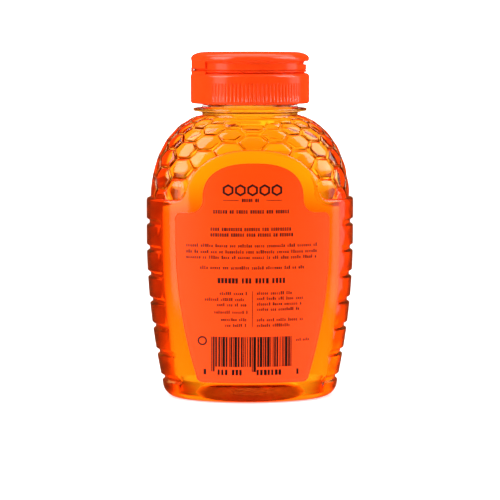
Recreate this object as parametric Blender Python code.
"""Honey squeeze bottle with a screw-on flip-top cap.

A blow-moulded bottle with a honeycomb-embossed shoulder, a raised ribbed body with an arched lip,
and a necked mouth. The cap is one moulding in reality: a threaded skirt with a spout, a flip lid
and the thin living hinge between them. All sizes are in metres. +Z is up, the origin is the middle
of the footprint, and the label with the small print faces -Y.
"""

import math

import bmesh
import bpy
from mathutils import Matrix, Vector

# Bottle body: an oval section that narrows towards the base.
BODY_WIDTH = 0.0794
BODY_DEPTH = 0.0504
TAPER_START = 0.062
SIDE_TAPER_RADIUS = 0.265
PANEL_TAPER_RADIUS = 0.900
WALL = 0.0008

# Base: a rounded heel, a flat ring to stand on and a push-up in the middle.
HEEL_RADIUS = 0.0055
STAND_WIDTH = 0.0026
PUSH_UP_RISE = 0.0045
PUSH_UP_SHARES = (0.12, 0.45, 0.75)

# Lip of the raised body: level at the sides, arched over each label panel.
LIP_HEIGHT = 0.0770
LIP_RADIUS = 0.0013
ARCH_RISE = 0.0192
ARCH_HALF_WIDTH = 0.0253
ARCH_FOOT_RADIUS = 0.0040
ARCH_POWER = 2.3
LAND_WIDTH = 0.0034
LAND_FALL = 0.0008
CORE_INSET = 0.0085
CORE_DROP = 0.0070
PANEL_RISE_SHARES = (0.3, 0.6, 0.85)
PANEL_LEAN_RISE = 0.0050
PANEL_LEAN_RADIUS = 0.100
PANEL_LEAN_START = LIP_HEIGHT + PANEL_LEAN_RISE
CORE_HEIGHT = LIP_HEIGHT - CORE_DROP

# Grip grooves round the sides, evenly spaced below the lip, which fade out beside the labels.
GROOVE_COUNT = 7
FIRST_GROOVE_HEIGHT = 0.0077
TOP_RIB_HEIGHT = 0.0093
GROOVE_WIDTH = 0.0030
GROOVE_FLOOR_SHARE = 0.4
GROOVE_DEPTH = 0.0011
RIB_CROWN = 0.0002
GROOVE_END_ANGLE = math.radians(60)
GROOVE_END_DROP = math.radians(11)
GROOVE_FADE = math.radians(5)
GROOVE_PITCH = (LIP_HEIGHT - TOP_RIB_HEIGHT - FIRST_GROOVE_HEIGHT) / (GROOVE_COUNT - 1)

# Shoulder dome with its honeycomb, which rises out of the lip.
DOME_SIDE_SETBACK = 0.0018
DOME_PANEL_SETBACK = 0.0009
DOME_SINK = 0.0010
DOME_RISE = 0.0326
DOME_SKIRT_DEPTH = 0.0100
DOME_EYE_RADIUS = 0.0140
DOME_POWER = 2.1
CELL_COLUMNS = 22
CELL_CLIMB = math.radians(7.25)
LOWEST_CELL_ROW = -1
HIGHEST_CELL_ROW = 11
CELL_WIDTH = 0.0085
CELL_HEIGHT = 0.0086
CELL_GAP = 0.0014
EMBOSS_DEPTH = 0.0008
CELL_CROWN = 0.0002
DOME_HALF_WIDTH = BODY_WIDTH / 2 - DOME_SIDE_SETBACK
DOME_HALF_DEPTH = BODY_DEPTH / 2 - DOME_PANEL_SETBACK
DOME_BASE_HEIGHT = LIP_HEIGHT - DOME_SINK
DOME_TOP = DOME_BASE_HEIGHT + DOME_RISE

# Neck finish, which rises out of the dome.
FINISH_RADIUS = 0.0176
FINISH_RISE = 0.0126
FINISH_LENGTH = 0.0070
NECK_STEP = 0.0007
NECK_CHAMFER = 0.0007
NECK_SINK = 0.0046
NECK_WALL = 0.0019
THROAT_DROP = 0.0018
THROAT_RISE = 0.0010
COLLAR_WIDTH = 0.00345
COLLAR_RISE = 0.0025
COLLAR_TIP_THICKNESS = 0.0011
COLLAR_SLOPE = 0.0006
NECK_RADIUS = FINISH_RADIUS + NECK_STEP
NECK_BOTTOM = DOME_TOP - NECK_SINK
BORE_RADIUS = FINISH_RADIUS - NECK_WALL
THROAT = DOME_TOP - THROAT_DROP
COLLAR_RADIUS = NECK_RADIUS + COLLAR_WIDTH
COLLAR_TOP = DOME_TOP + COLLAR_RISE
MOUTH_HEIGHT = DOME_TOP + FINISH_RISE
FINISH_START = MOUTH_HEIGHT - FINISH_LENGTH

# Contents, seal and liner, each resting a seat gap above what it lies on.
SEAT_GAP = 0.0003
HEADSPACE = 0.0062
HONEY_NECK_CLEARANCE = 0.0012
FOIL_THICKNESS = 0.0002
FOIL_SETBACK = 0.0002
LINER_THICKNESS = 0.0010
LINER_CLEARANCE = 0.00065
LINER_HOLE_RADIUS = 0.0110
HONEY_LEVEL = MOUTH_HEIGHT - HEADSPACE
FOIL_RADIUS = FINISH_RADIUS - FOIL_SETBACK
FOIL_BOTTOM = MOUTH_HEIGHT + SEAT_GAP
LINER_BOTTOM = FOIL_BOTTOM + FOIL_THICKNESS + SEAT_GAP

# Cap base: a threaded sleeve inside an outer skirt, the deck over both, a rim and a spout.
THREAD_SPACE = 0.00145
SLEEVE_WALL = 0.0012
SKIRT_SPACE = 0.00115
SKIRT_WALL = 0.0013
SKIRT_CLEARANCE = 0.0018
SKIRT_CHAMFER = 0.0005
CAP_PHASE = math.radians(5)
DECK_THICKNESS = 0.0015
RIM_THICKNESS = 0.0007
RIM_SETBACK = 0.0013
RIM_LEDGE = 0.0020
NOTCH_HEIGHT = 0.0003
NOTCH_DEPTH = 0.0010
SHOULDER_RISE = 0.0013
SNAP_RING_WALL = 0.0009
SNAP_RING_RISE = 0.0012
SPOUT_ROOT_RADIUS = 0.0068
SPOUT_BODY_RADIUS = 0.0052
SPOUT_TIP_RADIUS = 0.0040
SPOUT_ROOT_RISE = 0.0012
SPOUT_RISE = 0.0044
SPOUT_TIP_ROUND = 0.0006
ORIFICE_RADIUS = 0.0030
FUNNEL_RADIUS = 0.0050
SLEEVE_BORE_RADIUS = FINISH_RADIUS + THREAD_SPACE
SLEEVE_RADIUS = SLEEVE_BORE_RADIUS + SLEEVE_WALL
CAP_RADIUS = SLEEVE_RADIUS + SKIRT_SPACE + SKIRT_WALL
LINER_RADIUS = SLEEVE_BORE_RADIUS - LINER_CLEARANCE
RIM_RADIUS = CAP_RADIUS - RIM_SETBACK
SHOULDER_RADIUS = RIM_RADIUS - NOTCH_DEPTH
SNAP_RING_RADIUS = RIM_RADIUS - RIM_LEDGE
SKIRT_BOTTOM = COLLAR_TOP + SKIRT_CLEARANCE
DECK_UNDERSIDE = LINER_BOTTOM + LINER_THICKNESS + SEAT_GAP
DECK_TOP = DECK_UNDERSIDE + DECK_THICKNESS
RIM_TOP = DECK_TOP + RIM_THICKNESS
SHOULDER_HEIGHT = DECK_TOP - NOTCH_HEIGHT - SHOULDER_RISE

# Fine vertical ribs in two panels of the skirt, front and back.
KNURL_COUNT = 26
KNURL_HALF_ANGLE = math.radians(47.5)
KNURL_CUT_RADIUS = 0.00055
KNURL_DEPTH = 0.0003
KNURL_MARGIN_ABOVE = 0.0023
KNURL_MARGIN_BELOW = 0.0007
KNURL_SIDES = 6
KNURL_TOP = SHOULDER_HEIGHT - KNURL_MARGIN_ABOVE
KNURL_BOTTOM = SKIRT_BOTTOM + KNURL_MARGIN_BELOW

# Flip lid, which closes on the rim round the snap ring and plugs the spout.
LID_RISE = 0.0071
LID_CROWN = 0.0002
LID_WALL = 0.0016
LID_TOP_THICKNESS = 0.0014
LID_CORNER = 0.0006
LID_NOTCH_DEPTH = 0.0009
LID_NOTCH_HEIGHT = 0.0005
PARTING_GAP = 0.0003
SNAP_CLEARANCE = 0.0005
BRIM_SETBACK = 0.0001
BRIM_DROP = 0.0026
BRIM_THICKNESS = 0.0016
BRIM_WIDTH = 0.0052
PLUG_CLEARANCE = 0.0005
PLUG_TAPER = 0.0004
PLUG_DEPTH = 0.0018
LID_BOTTOM = RIM_TOP + PARTING_GAP
LID_HEIGHT = RIM_TOP + LID_RISE
LID_INNER_RADIUS = SNAP_RING_RADIUS + SNAP_CLEARANCE
LID_WALL_RADIUS = LID_INNER_RADIUS + LID_WALL
LID_NOTCH_RADIUS = LID_WALL_RADIUS - LID_NOTCH_DEPTH
BRIM_RADIUS = CAP_RADIUS - BRIM_SETBACK
BRIM_HEIGHT = LID_HEIGHT - BRIM_DROP
BRIM_UNDERSIDE = BRIM_HEIGHT - BRIM_THICKNESS
PLUG_RADIUS = ORIFICE_RADIUS - PLUG_CLEARANCE
PLUG_TIP_RADIUS = PLUG_RADIUS - PLUG_TAPER
PLUG_TIP = DECK_TOP + SPOUT_RISE - PLUG_DEPTH

# Living hinge and the flush pads above and below it.
HINGE_SETBACK = 0.0003
HINGE_GAP = 0.0013
HINGE_PAD_HALF_ANGLE = math.radians(33)
HINGE_PAD_CHAMFER = 0.0006
HINGE_PAD_THICKNESS = 0.0021
FILM_WIDTH = 0.0070
FILM_THICKNESS = 0.0004
HINGE_AZIMUTH = math.pi + CAP_PHASE
HINGE_RADIUS = CAP_RADIUS - HINGE_SETBACK
HINGE_PAD_INNER = HINGE_RADIUS - HINGE_PAD_THICKNESS
HINGE_HEIGHT = RIM_TOP + PARTING_GAP / 2

# Labels: an outline on each broad face that follows the arch of the lip.
LABEL_THICKNESS = 0.0002
LABEL_HALF_WIDTH = 0.0292
LABEL_BOTTOM = 0.0081
LABEL_SHOULDER_MARGIN = 0.0046
LABEL_TOP_MARGIN = 0.0050
LABEL_ARCH_MARGIN = 0.0063
LABEL_ARCH_FOOT = 0.0050
LABEL_ARCH_POWER = 2.5
LABEL_TAPER_RADIUS = 0.170
LABEL_CORNER = 0.0024
LABEL_SHOULDER_HEIGHT = LIP_HEIGHT - LABEL_SHOULDER_MARGIN
LABEL_TOP = LIP_HEIGHT + ARCH_RISE - LABEL_TOP_MARGIN
LABEL_ARCH_HALF_WIDTH = ARCH_HALF_WIDTH - LABEL_ARCH_MARGIN

# How finely the shapes are divided, and how far cutters run past what they cut.
ROUND_STEPS = 40
OUTER_ARCH_SHARES = (0, 0.25, 0.49, 0.69, 0.84, 0.94, 1.03)
OUTER_SIDE_STEPS = 5
INNER_ARCH_SHARES = (0, 0.49, 0.84, 0.94, 1.03)
INNER_SIDE_STEPS = 3
LABEL_QUARTER_STEPS = 10
HEEL_STEPS = 3
LIP_STEPS = 2
DOME_RING_STEPS = 7
BRIM_ARC_STEPS = 5
LABEL_ARC_STEPS = 4
LABEL_ARCH_STEPS = 9
LABEL_EDGE_STEPS = 6
OVERRUN = 0.0020
NORMAL_STEP_SHARE = 0.001
WELD = 0.000002

PARTS = "honey_squeeze_bottle"
CUTTERS = "cutters"


def clear_scene():
    for thing in list(bpy.data.objects):
        bpy.data.objects.remove(thing, do_unlink=True)


def new_collection(name):
    collection = bpy.data.collections.new(name)
    bpy.context.scene.collection.children.link(collection)
    return collection


def new_material(name, colour, roughness, transmission=0.0, ior=1.5):
    material = bpy.data.materials.new(name)
    material.use_nodes = True
    shader = material.node_tree.nodes["Principled BSDF"]
    shader.inputs["Base Color"].default_value = (*colour, 1)
    shader.inputs["Roughness"].default_value = roughness
    shader.inputs["Metallic"].default_value = 0
    shader.inputs["Transmission Weight"].default_value = transmission
    shader.inputs["IOR"].default_value = ior
    material.diffuse_color = (*colour, 1)
    return material


def add_object(name, mesh, material=None):
    """Put a mesh in the parts collection, or among the cutters when it has no material."""
    thing = bpy.data.objects.new(name, mesh)
    if material is None:
        bpy.data.collections[CUTTERS].objects.link(thing)
        thing.hide_render = True
        thing.display_type = "WIRE"
    else:
        bpy.data.collections[PARTS].objects.link(thing)
        mesh.materials.append(material)
        mesh.shade_smooth()
        mesh.set_sharp_from_angle(angle=math.radians(30))
    return thing


def to_mesh(name, bm):
    bmesh.ops.recalc_face_normals(bm, faces=bm.faces[:])
    mesh = bpy.data.meshes.new(name)
    bm.to_mesh(mesh)
    bm.free()
    return mesh


def combine(target, tool, operation):
    modifier = target.modifiers.new(f"{operation.lower()} {tool.name}", "BOOLEAN")
    modifier.operation = operation
    modifier.object = tool
    modifier.solver = "EXACT"


def loft(name, rings, material=None, tube=False):
    """Skin rings of equally many points. A tube joins the last ring to the first, else both ends are capped."""
    bm = bmesh.new()
    loops = []
    for ring in rings:
        verts = [bm.verts.new(point) for point in ring]
        loops.append(verts)
    if tube:
        loops.append(loops[0])
    for lower, upper in zip(loops, loops[1:]):
        count = len(lower)
        for i in range(count):
            j = (i + 1) % count
            bm.faces.new((lower[i], lower[j], upper[j], upper[i]))
    if not tube:
        bm.faces.new(loops[0])
        bm.faces.new(loops[-1])
    return add_object(name, to_mesh(name, bm), material)


def revolve(name, profile, material=None, sweep=2 * math.pi, start=0, steps=ROUND_STEPS):
    """Turn an outline of (radius, height) points about Z. The outline runs down its outer side."""
    bm = bmesh.new()
    verts = [bm.verts.new((radius, 0, height)) for radius, height in profile]
    edges = [bm.edges.new(pair) for pair in zip(verts, verts[1:])]
    on_axis = profile[0][0] == 0 and profile[-1][0] == 0
    if not on_axis:
        edges.append(bm.edges.new((verts[-1], verts[0])))
    full = sweep >= 2 * math.pi
    if not full:
        section = bm.faces.new(verts)
        edges = list(section.edges)
    bmesh.ops.rotate(bm, verts=bm.verts, matrix=Matrix.Rotation(start, 3, "Z"))
    geometry = bm.verts[:] + bm.edges[:] + bm.faces[:]
    bmesh.ops.spin(
        bm, geom=geometry, axis=(0, 0, 1), cent=(0, 0, 0), angle=sweep, steps=steps, use_merge=full
    )
    bmesh.ops.remove_doubles(bm, verts=bm.verts, dist=WELD)
    return add_object(name, to_mesh(name, bm), material)


def quarter_angles(arch_shares, side_steps):
    """Angles from the middle of a broad face to the side, close together where the arched lip comes down."""
    places = [share * ARCH_HALF_WIDTH for share in arch_shares] + [ARCH_HALF_WIDTH + ARCH_FOOT_RADIUS]
    angles = [math.asin(place / (BODY_WIDTH / 2)) for place in places]
    foot = angles[-1]
    rest = math.pi / 2 - foot
    return angles + [foot + rest * step / side_steps for step in range(1, side_steps)]


def around(quarter):
    """The angles of one quarter turn mirrored into all four."""
    half = quarter + [math.pi / 2] + [math.pi - angle for angle in reversed(quarter[1:])]
    return half + [math.pi + angle for angle in half]


def body_half_width(height):
    drop = max(0, TAPER_START - height)
    return BODY_WIDTH / 2 - drop**2 / (2 * SIDE_TAPER_RADIUS)


def body_half_depth(height):
    drop = max(0, TAPER_START - height)
    climb = max(0, height - PANEL_LEAN_START)
    return BODY_DEPTH / 2 - drop**2 / (2 * PANEL_TAPER_RADIUS) - climb**2 / (2 * PANEL_LEAN_RADIUS)


def body_point(angle, height, inset, level=None):
    """A point of the body's oval at this height, set in along the oval's normal. Angle 0 faces -Y."""
    width = body_half_width(height)
    depth = body_half_depth(height)
    normal = Vector((math.sin(angle) / width, -math.cos(angle) / depth, 0)).normalized()
    point = Vector((width * math.sin(angle), -depth * math.cos(angle), height if level is None else level))
    return point - normal * inset


def arch_height(angle):
    """Height of the lip: a rounded arch over the middle of each broad face, level at the sides."""
    across = abs(math.sin(angle)) * BODY_WIDTH / 2
    reach = ARCH_HALF_WIDTH + ARCH_FOOT_RADIUS
    if across >= reach:
        return LIP_HEIGHT
    foot = ARCH_FOOT_RADIUS - math.sqrt(max(0, ARCH_FOOT_RADIUS**2 - (reach - across) ** 2))
    if across >= ARCH_HALF_WIDTH:
        return LIP_HEIGHT + foot
    share = (1 - (across / ARCH_HALF_WIDTH) ** ARCH_POWER) ** (1 / ARCH_POWER)
    return LIP_HEIGHT + max(ARCH_FOOT_RADIUS, ARCH_RISE * share)


def groove_fade(angle, height):
    """How deep a groove is at this angle, from 0 on the label panels to 1 round the sides."""
    from_middle = abs(math.asin(max(-1, min(1, math.sin(angle)))))
    drop = max(0, TAPER_START - height) / TAPER_START
    end = GROOVE_END_ANGLE - GROOVE_END_DROP * drop**2
    share = max(0, min(1, (from_middle - end) / GROOVE_FADE))
    return share * share * (3 - 2 * share)


def base_rings(angles, inset):
    """Rings from the middle of the push-up, over the standing ring and up the rounded heel."""
    heel = HEEL_RADIUS - inset
    edge = [body_point(angle, HEEL_RADIUS, HEEL_RADIUS + STAND_WIDTH, inset) for angle in angles]
    rings = []
    for share in PUSH_UP_SHARES:
        rise = PUSH_UP_RISE * (1 - share**2)
        rings.append([Vector((point.x * share, point.y * share, inset + rise)) for point in edge])
    rings.append(edge)
    for step in range(HEEL_STEPS, -1, -1):
        turn = math.pi / 2 * step / HEEL_STEPS
        offset = HEEL_RADIUS - heel * math.cos(turn)
        level = HEEL_RADIUS - heel * math.sin(turn)
        rings.append([body_point(angle, HEEL_RADIUS, offset, level) for angle in angles])
    return rings


def groove_rings(angles, inset, crowned):
    rings = []
    edge = GROOVE_WIDTH / 2
    floor = edge * GROOVE_FLOOR_SHARE
    for index in range(GROOVE_COUNT):
        middle = FIRST_GROOVE_HEIGHT + index * GROOVE_PITCH
        for offset, depth_share in ((-edge, 0), (-floor, 1), (floor, 1), (edge, 0)):
            height = middle + offset
            ring = []
            for angle in angles:
                fade = groove_fade(angle, height)
                dip = RIB_CROWN + (GROOVE_DEPTH - RIB_CROWN) * depth_share
                ring.append(body_point(angle, height, inset + dip * fade))
            rings.append(ring)
        if crowned:
            height = middle + GROOVE_PITCH / 2
            rings.append([body_point(angle, height, inset) for angle in angles])
    return rings


def lip_rings(angles, inset):
    """Rings from the top groove up to the arched lip, over its rounded edge and down inside the dome."""
    start = FIRST_GROOVE_HEIGHT + (GROOVE_COUNT - 1) * GROOVE_PITCH + GROOVE_PITCH / 2
    bases = [arch_height(angle) - inset - LIP_RADIUS for angle in angles]
    rings = []
    for share in PANEL_RISE_SHARES:
        ring = [body_point(a, start + share * (base - start), inset) for a, base in zip(angles, bases)]
        rings.append(ring)
    for step in range(LIP_STEPS + 1):
        turn = math.pi / 2 * step / LIP_STEPS
        offset = inset + LIP_RADIUS * (1 - math.cos(turn))
        rise = LIP_RADIUS * math.sin(turn)
        rings.append([body_point(a, base, offset, base + rise) for a, base in zip(angles, bases)])
    land = inset + LIP_RADIUS + LAND_WIDTH
    fall = LIP_RADIUS - LAND_FALL
    rings.append([body_point(a, base, land, base + fall) for a, base in zip(angles, bases)])
    rings.append([body_point(a, CORE_HEIGHT, inset + CORE_INSET, CORE_HEIGHT) for a in angles])
    return rings


def body_solid(name, angles, inset, crowned):
    rings = base_rings(angles, inset) + groove_rings(angles, inset, crowned) + lip_rings(angles, inset)
    return loft(name, rings)


def dome_point(angle, climb):
    """A point of the shoulder: an oval at the bottom that turns into the circle of the neck."""
    sine = math.sin(climb)
    spread = max(0, math.cos(climb)) ** (2 / DOME_POWER)
    rise = math.copysign(abs(sine) ** (2 / DOME_POWER), sine)
    width = DOME_EYE_RADIUS + (DOME_HALF_WIDTH - DOME_EYE_RADIUS) * spread
    depth = DOME_EYE_RADIUS + (DOME_HALF_DEPTH - DOME_EYE_RADIUS) * spread
    if climb < 0:
        width = DOME_HALF_WIDTH
        depth = DOME_HALF_DEPTH
    return Vector((width * math.sin(angle), -depth * math.cos(angle), DOME_BASE_HEIGHT + DOME_RISE * rise))


def dome_offset(angle, climb, lift):
    step = NORMAL_STEP_SHARE * math.pi
    along = dome_point(angle + step, climb) - dome_point(angle - step, climb)
    up = dome_point(angle, climb + step) - dome_point(angle, climb - step)
    return dome_point(angle, climb) + along.cross(up).normalized() * lift


def close_end(bm, edges, place):
    """Run a row of boundary edges on to new places and fill the end."""
    made = bmesh.ops.extrude_edge_only(bm, edges=edges)["geom"]
    for vert in [item for item in made if isinstance(item, bmesh.types.BMVert)]:
        vert.co = place(vert.co)
    rim = [item for item in made if isinstance(item, bmesh.types.BMEdge) and item.is_boundary]
    bmesh.ops.holes_fill(bm, edges=rim, sides=0)


def honeycomb_dome(name):
    """Flat six-sided cells are welded into a sheet, inset and raised, then wrapped on to the dome."""
    bm = bmesh.new()
    half_row = CELL_HEIGHT / 2
    reach = CELL_WIDTH * 2 / 3
    for column in range(CELL_COLUMNS):
        for row in range(LOWEST_CELL_ROW, HIGHEST_CELL_ROW + 1):
            if (column + row) % 2:
                continue
            spread = Matrix.Diagonal((reach, half_row / math.sin(math.pi / 3), 1, 1))
            place = Matrix.Translation((column * CELL_WIDTH, row * half_row, 0))
            turned = Matrix.Rotation(math.pi / 6, 4, "Z")
            bmesh.ops.create_circle(bm, cap_ends=True, radius=1, segments=6, matrix=place @ spread @ turned)
    bmesh.ops.remove_doubles(bm, verts=bm.verts, dist=WELD)
    bmesh.ops.inset_individual(bm, faces=bm.faces[:], thickness=CELL_GAP / 2, depth=EMBOSS_DEPTH)
    tops = [face for face in bm.faces if min(vert.co.z for vert in face.verts) > EMBOSS_DEPTH / 2]
    crowns = bmesh.ops.poke(bm, faces=tops)["verts"]
    for vert in crowns:
        vert.co.z += CELL_CROWN
    turn = 2 * math.pi / CELL_COLUMNS / CELL_WIDTH
    for vert in bm.verts:
        climb = min(math.pi / 2, vert.co.y / half_row * CELL_CLIMB)
        vert.co = dome_offset(vert.co.x * turn, climb, vert.co.z - EMBOSS_DEPTH)
    bmesh.ops.remove_doubles(bm, verts=bm.verts, dist=WELD)
    border = [edge for edge in bm.edges if edge.is_boundary]
    middle = (DOME_BASE_HEIGHT + DOME_TOP) / 2
    lower = [edge for edge in border if edge.verts[0].co.z < middle]
    upper = [edge for edge in border if edge.verts[0].co.z >= middle]
    close_end(bm, lower, lambda co: Vector((co.x, co.y, DOME_BASE_HEIGHT - DOME_SKIRT_DEPTH)))
    eye = DOME_EYE_RADIUS - OVERRUN
    close_end(bm, upper, lambda co: Vector((*(co.xy.normalized() * eye), NECK_BOTTOM + OVERRUN)))
    return add_object(name, to_mesh(name, bm))


def smooth_dome(name, angles, inset, throat, bore_radius, top):
    """The dome without its cells, set in by a wall, which runs on up the neck as a round bore."""
    highest = math.asin(min(1, ((throat - DOME_BASE_HEIGHT + inset) / DOME_RISE) ** (DOME_POWER / 2)))
    rings = [[dome_offset(angle, 0, -inset) for angle in angles]]
    for point in rings[0]:
        point.z = CORE_HEIGHT - OVERRUN
    for step in range(DOME_RING_STEPS + 1):
        climb = highest * step / DOME_RING_STEPS
        rings.append([dome_offset(angle, climb, -inset) for angle in angles])
    for point in rings[-1]:
        point.z = throat
    for level in (throat + THROAT_RISE, top):
        rings.append([Vector((math.sin(a) * bore_radius, -math.cos(a) * bore_radius, level)) for a in angles])
    return loft(name, rings)


def neck_profile():
    collar_tip_low = COLLAR_TOP - COLLAR_TIP_THICKNESS
    return [
        (0, MOUTH_HEIGHT),
        (FINISH_RADIUS - NECK_CHAMFER, MOUTH_HEIGHT),
        (FINISH_RADIUS, MOUTH_HEIGHT - NECK_CHAMFER),
        (FINISH_RADIUS, FINISH_START + NECK_CHAMFER),
        (NECK_RADIUS, FINISH_START),
        (NECK_RADIUS, COLLAR_TOP + COLLAR_SLOPE / 2),
        (COLLAR_RADIUS, COLLAR_TOP),
        (COLLAR_RADIUS, collar_tip_low),
        (NECK_RADIUS, collar_tip_low - COLLAR_SLOPE),
        (NECK_RADIUS, NECK_BOTTOM),
        (0, NECK_BOTTOM),
    ]


def make_bottle(material):
    outer_angles = around(quarter_angles(OUTER_ARCH_SHARES, OUTER_SIDE_STEPS))
    inner_angles = around(quarter_angles(INNER_ARCH_SHARES, INNER_SIDE_STEPS))
    body = body_solid("body_form", outer_angles, 0, True)
    dome = honeycomb_dome("dome_form")
    neck = revolve("neck_form", neck_profile())
    body_space = body_solid("body_space", inner_angles, WALL, False)
    dome_wall = EMBOSS_DEPTH + WALL
    dome_space = smooth_dome("dome_space", inner_angles, dome_wall, THROAT, BORE_RADIUS, MOUTH_HEIGHT + OVERRUN)
    bottle = add_object("bottle", body.data.copy(), material)
    combine(bottle, dome, "UNION")
    combine(bottle, neck, "UNION")
    combine(bottle, body_space, "DIFFERENCE")
    combine(bottle, dome_space, "DIFFERENCE")
    return bottle


def make_honey(material):
    angles = around(quarter_angles(INNER_ARCH_SHARES, INNER_SIDE_STEPS))
    clear = WALL + GROOVE_DEPTH + SEAT_GAP
    lower = base_rings(angles, clear)
    start = FIRST_GROOVE_HEIGHT + GROOVE_PITCH
    end = FIRST_GROOVE_HEIGHT + GROOVE_COUNT * GROOVE_PITCH
    for index in range(1, GROOVE_COUNT, 2):
        height = start + (end - start) * index / GROOVE_COUNT
        lower.append([body_point(angle, height, clear) for angle in angles])
    body = loft("honey_body_form", lower + lip_rings(angles, clear))
    clear = 2 * SEAT_GAP
    dome_inset = EMBOSS_DEPTH + WALL + clear
    neck = BORE_RADIUS - HONEY_NECK_CLEARANCE
    dome = smooth_dome("honey_dome_form", angles, dome_inset, THROAT - clear, neck, HONEY_LEVEL)
    honey = add_object("honey_fill", body.data.copy(), material)
    combine(honey, dome, "UNION")
    return honey


def make_foil(material):
    low = FOIL_BOTTOM
    top = low + FOIL_THICKNESS
    return revolve("inner_seal", [(0, top), (FOIL_RADIUS, top), (FOIL_RADIUS, low), (0, low)], material)


def make_liner(material):
    low = LINER_BOTTOM
    top = low + LINER_THICKNESS
    profile = [(LINER_HOLE_RADIUS, top), (LINER_RADIUS, top), (LINER_RADIUS, low), (LINER_HOLE_RADIUS, low)]
    return revolve("cap_liner", profile, material)


def cap_profile():
    deck = DECK_TOP
    rim = RIM_TOP
    spout = deck + SPOUT_RISE
    profile = [
        (ORIFICE_RADIUS, spout),
        (SPOUT_TIP_RADIUS - SPOUT_TIP_ROUND, spout),
        (SPOUT_TIP_RADIUS, spout - SPOUT_TIP_ROUND),
        (SPOUT_BODY_RADIUS, deck + SPOUT_ROOT_RISE),
        (SPOUT_ROOT_RADIUS, deck),
        (SNAP_RING_RADIUS - SNAP_RING_WALL, deck),
        (SNAP_RING_RADIUS - SNAP_RING_WALL, rim + SNAP_RING_RISE),
        (SNAP_RING_RADIUS, rim + SNAP_RING_RISE),
        (SNAP_RING_RADIUS, rim),
        (RIM_RADIUS, rim),
        (RIM_RADIUS, rim - RIM_THICKNESS),
    ]
    for step in range(BRIM_ARC_STEPS):
        turn = math.pi / 2 * step / (BRIM_ARC_STEPS - 1)
        radius = SHOULDER_RADIUS + (CAP_RADIUS - SHOULDER_RADIUS) * math.sin(turn)
        profile.append((radius, SHOULDER_HEIGHT + SHOULDER_RISE * math.cos(turn)))
    skirt_roof = SHOULDER_HEIGHT - SKIRT_CHAMFER
    profile += [
        (CAP_RADIUS, SKIRT_BOTTOM + SKIRT_CHAMFER),
        (CAP_RADIUS - SKIRT_CHAMFER, SKIRT_BOTTOM),
        (CAP_RADIUS - SKIRT_WALL, SKIRT_BOTTOM),
        (CAP_RADIUS - SKIRT_WALL, skirt_roof),
        (SLEEVE_RADIUS, skirt_roof),
        (SLEEVE_RADIUS, SKIRT_BOTTOM),
        (SLEEVE_BORE_RADIUS + SKIRT_CHAMFER, SKIRT_BOTTOM),
        (SLEEVE_BORE_RADIUS, SKIRT_BOTTOM + SKIRT_CHAMFER),
        (SLEEVE_BORE_RADIUS, DECK_UNDERSIDE),
        (FUNNEL_RADIUS, DECK_UNDERSIDE),
        (ORIFICE_RADIUS, deck),
    ]
    return profile


def pad(name, profile):
    """A flush block of the cap wall over the hinge's width."""
    start = HINGE_AZIMUTH - HINGE_PAD_HALF_ANGLE
    return revolve(name, profile, None, 2 * HINGE_PAD_HALF_ANGLE, start, ROUND_STEPS // 4)


def knurl_cutter():
    """Upright cutting pins side by side, whose gaps leave the fine ribs of the skirt."""
    bm = bmesh.new()
    height = KNURL_TOP - KNURL_BOTTOM
    radius = CAP_RADIUS + KNURL_CUT_RADIUS - KNURL_DEPTH
    for face in range(2):
        middle = CAP_PHASE - math.pi / 2 + face * math.pi
        for index in range(KNURL_COUNT):
            share = (index + 0.5) / KNURL_COUNT * 2 - 1
            azimuth = middle + share * KNURL_HALF_ANGLE
            place = Matrix.Rotation(azimuth, 4, "Z") @ Matrix.Translation(
                (radius, 0, (KNURL_TOP + KNURL_BOTTOM) / 2)
            )
            bmesh.ops.create_cone(
                bm,
                cap_ends=True,
                segments=KNURL_SIDES,
                radius1=KNURL_CUT_RADIUS,
                radius2=KNURL_CUT_RADIUS,
                depth=height,
                matrix=place,
            )
    return add_object("knurl_pins", to_mesh("knurl_pins", bm))


def make_cap_base(material):
    cap = revolve("cap_base", cap_profile(), material)
    top = HINGE_HEIGHT - HINGE_GAP / 2
    low = SHOULDER_HEIGHT - SHOULDER_RISE
    profile = [
        (HINGE_PAD_INNER, top),
        (HINGE_RADIUS - HINGE_PAD_CHAMFER, top),
        (HINGE_RADIUS, top - HINGE_PAD_CHAMFER),
        (HINGE_RADIUS, low),
        (HINGE_PAD_INNER, low),
    ]
    combine(cap, pad("base_pad_form", profile), "UNION")
    combine(cap, knurl_cutter(), "DIFFERENCE")
    return cap


def lid_profile():
    bottom = LID_BOTTOM
    ceiling = LID_HEIGHT - LID_TOP_THICKNESS
    profile = [(0, LID_HEIGHT)]
    flat = BRIM_RADIUS - BRIM_WIDTH
    for step in range(BRIM_ARC_STEPS + 1):
        turn = math.pi / 2 * step / BRIM_ARC_STEPS
        radius = flat + (BRIM_RADIUS - flat) * math.sin(turn)
        profile.append((radius, BRIM_HEIGHT + (LID_HEIGHT - LID_CROWN - BRIM_HEIGHT) * math.cos(turn)))
    notch = BRIM_UNDERSIDE
    profile += [
        ((BRIM_RADIUS + LID_WALL_RADIUS) / 2, (BRIM_HEIGHT + notch) / 2),
        (LID_NOTCH_RADIUS, notch),
        (LID_WALL_RADIUS, notch - LID_NOTCH_HEIGHT),
        (LID_WALL_RADIUS, bottom + LID_CORNER / 2),
        (LID_WALL_RADIUS - LID_CORNER / 2, bottom),
        (LID_INNER_RADIUS, bottom),
        (LID_INNER_RADIUS, ceiling - LID_CORNER),
        (LID_INNER_RADIUS - LID_CORNER, ceiling),
        (PLUG_RADIUS, ceiling),
        (PLUG_RADIUS, PLUG_TIP + LID_CORNER),
        (PLUG_TIP_RADIUS, PLUG_TIP),
        (0, PLUG_TIP),
    ]
    return profile


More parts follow.
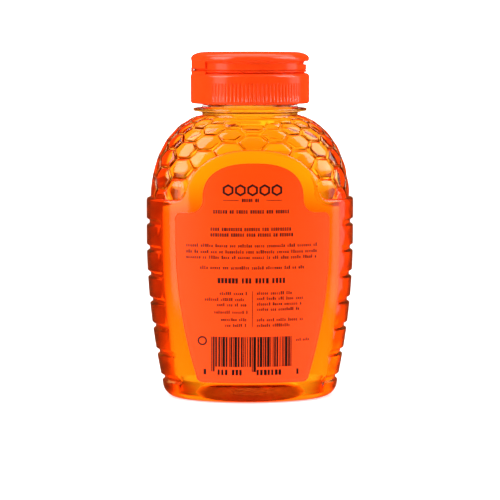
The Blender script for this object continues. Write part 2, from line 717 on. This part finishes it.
def make_lid(material):
    lid = revolve("flip_lid", lid_profile(), material)
    low = HINGE_HEIGHT + HINGE_GAP / 2
    profile = [
        (HINGE_PAD_INNER, BRIM_HEIGHT),
        (HINGE_RADIUS, BRIM_HEIGHT),
        (HINGE_RADIUS, low + HINGE_PAD_CHAMFER),
        (HINGE_RADIUS - HINGE_PAD_CHAMFER, low),
        (HINGE_PAD_INNER, low),
    ]
    combine(lid, pad("lid_pad_form", profile), "UNION")
    return lid


def make_film(material):
    bm = bmesh.new()
    height = HINGE_GAP - 2 * SEAT_GAP
    size = Matrix.Diagonal((FILM_THICKNESS, FILM_WIDTH, height, 1))
    place = Matrix.Rotation(HINGE_AZIMUTH, 4, "Z") @ Matrix.Translation(
        (HINGE_RADIUS - FILM_THICKNESS / 2, 0, HINGE_HEIGHT)
    )
    bmesh.ops.create_cube(bm, size=1, matrix=place @ size)
    return add_object("hinge_film", to_mesh("hinge_film", bm), material)


def label_edge(height):
    drop = max(0, TAPER_START - height)
    return LABEL_HALF_WIDTH - drop**2 / (2 * LABEL_TAPER_RADIUS)


def arc(centre_x, centre_z, radius, start, end, steps):
    points = []
    for step in range(steps + 1):
        turn = start + (end - start) * step / steps
        points.append((centre_x + radius * math.cos(turn), centre_z + radius * math.sin(turn)))
    return points


def label_outline():
    """Right half from the bottom round to the top, then its mirror image."""
    corner = LABEL_CORNER
    quarter = math.pi / 2
    steps = LABEL_ARC_STEPS
    low = LABEL_BOTTOM + corner
    half = arc(label_edge(low) - corner, low, corner, -quarter, 0, steps)
    high = LABEL_SHOULDER_HEIGHT - corner
    for step in range(1, LABEL_EDGE_STEPS):
        height = low + (high - low) * step / LABEL_EDGE_STEPS
        half.append((label_edge(height), height))
    half += arc(label_edge(high) - corner, high, corner, 0, quarter, steps)
    foot = LABEL_ARCH_FOOT
    foot_x = LABEL_ARCH_HALF_WIDTH + foot
    half += arc(foot_x, LABEL_SHOULDER_HEIGHT + foot, foot, -quarter, -2 * quarter, steps)
    spring = LABEL_SHOULDER_HEIGHT + foot
    rise = LABEL_TOP - spring
    for step in range(1, LABEL_ARCH_STEPS):
        turn = quarter * step / LABEL_ARCH_STEPS
        across = LABEL_ARCH_HALF_WIDTH * math.cos(turn) ** (2 / LABEL_ARCH_POWER)
        half.append((across, spring + rise * math.sin(turn) ** (2 / LABEL_ARCH_POWER)))
    mirrored = [(-x, z) for x, z in reversed(half)]
    return half + [(0, LABEL_TOP)] + mirrored


def label_blank(name, side):
    """The label's outline cut through the body from one broad face to the middle."""
    curve = bpy.data.curves.new(name, "CURVE")
    curve.dimensions = "2D"
    curve.fill_mode = "BOTH"
    curve.extrude = BODY_DEPTH / 2
    spline = curve.splines.new("POLY")
    outline = label_outline()
    spline.points.add(len(outline) - 1)
    for point, (x, z) in zip(spline.points, outline):
        point.co = (x, z, 0, 1)
    spline.use_cyclic_u = True
    drawn = bpy.data.objects.new(name, curve)
    bpy.data.collections[CUTTERS].objects.link(drawn)
    bpy.context.view_layer.update()
    mesh = bpy.data.meshes.new_from_object(drawn.evaluated_get(bpy.context.evaluated_depsgraph_get()))
    bpy.data.objects.remove(drawn, do_unlink=True)
    bm = bmesh.new()
    bm.from_mesh(mesh)
    bpy.data.meshes.remove(mesh)
    bmesh.ops.remove_doubles(bm, verts=bm.verts, dist=WELD)
    place = Matrix.Translation((0, side * (BODY_DEPTH / 2 + OVERRUN), 0)) @ Matrix.Rotation(math.pi / 2, 4, "X")
    bmesh.ops.transform(bm, matrix=place, verts=bm.verts)
    return add_object(name, to_mesh(name, bm))


def label_skin(name):
    """A thin tube that lies just off the body over the whole height of the labels."""
    quarter = math.pi / 2
    angles = around([quarter * step / LABEL_QUARTER_STEPS for step in range(LABEL_QUARTER_STEPS)])
    bottom = LABEL_BOTTOM - OVERRUN
    top = LABEL_TOP + OVERRUN / 2
    steps = LABEL_EDGE_STEPS
    heights = [bottom + (top - bottom) * step / steps for step in range(steps + 1)]
    outer = [[body_point(angle, height, -SEAT_GAP - LABEL_THICKNESS) for angle in angles] for height in heights]
    inner = [[body_point(angle, height, -SEAT_GAP) for angle in angles] for height in reversed(heights)]
    return loft(name, outer + inner, None, True)


def make_label(name, side, material):
    skin = label_skin(f"{name}_skin")
    label = add_object(name, skin.data.copy(), material)
    combine(label, label_blank(f"{name}_blank", side), "INTERSECT")
    return label


def hold_on_axis(parts, name, place):
    """Hang moving parts on an empty that stands on their joint's axis, without moving them."""
    holder = bpy.data.objects.new(name, None)
    bpy.data.collections[PARTS].objects.link(holder)
    holder.location = place
    for part in parts:
        part.parent = holder
        part.matrix_parent_inverse = Matrix.Translation(place).inverted()
    return holder


def main():
    clear_scene()
    new_collection(PARTS)
    new_collection(CUTTERS)
    clear_amber = new_material("clear_amber_bottle", (0.95, 0.62, 0.20), 0.08, 0.9, 1.57)
    honey_amber = new_material("honey", (0.90, 0.36, 0.02), 0.05, 0.8, 1.49)
    foil_silver = new_material("laminated_foil", (0.80, 0.80, 0.80), 0.35)
    liner_white = new_material("foam_liner", (0.90, 0.89, 0.85), 0.80)
    cap_orange = new_material("cap_orange", (1.00, 0.10, 0.02), 0.35)
    label_orange = new_material("label_orange", (1.00, 0.08, 0.01), 0.45)

    make_bottle(clear_amber)
    make_honey(honey_amber)
    make_foil(foil_silver)
    liner = make_liner(liner_white)
    cap = make_cap_base(cap_orange)
    lid = make_lid(cap_orange)
    film = make_film(cap_orange)
    make_label("back_label", -1, label_orange)
    make_label("front_label", 1, label_orange)

    turn = HINGE_AZIMUTH
    hinge = Vector((math.cos(turn) * HINGE_RADIUS, math.sin(turn) * HINGE_RADIUS, HINGE_HEIGHT))
    hold_on_axis([liner], "cap_rise_axis", Vector((0, 0, LINER_BOTTOM)))
    hold_on_axis([cap, film], "cap_turn_axis", Vector((0, 0, SKIRT_BOTTOM)))
    hold_on_axis([lid], "lid_hinge_axis", hinge)


main()
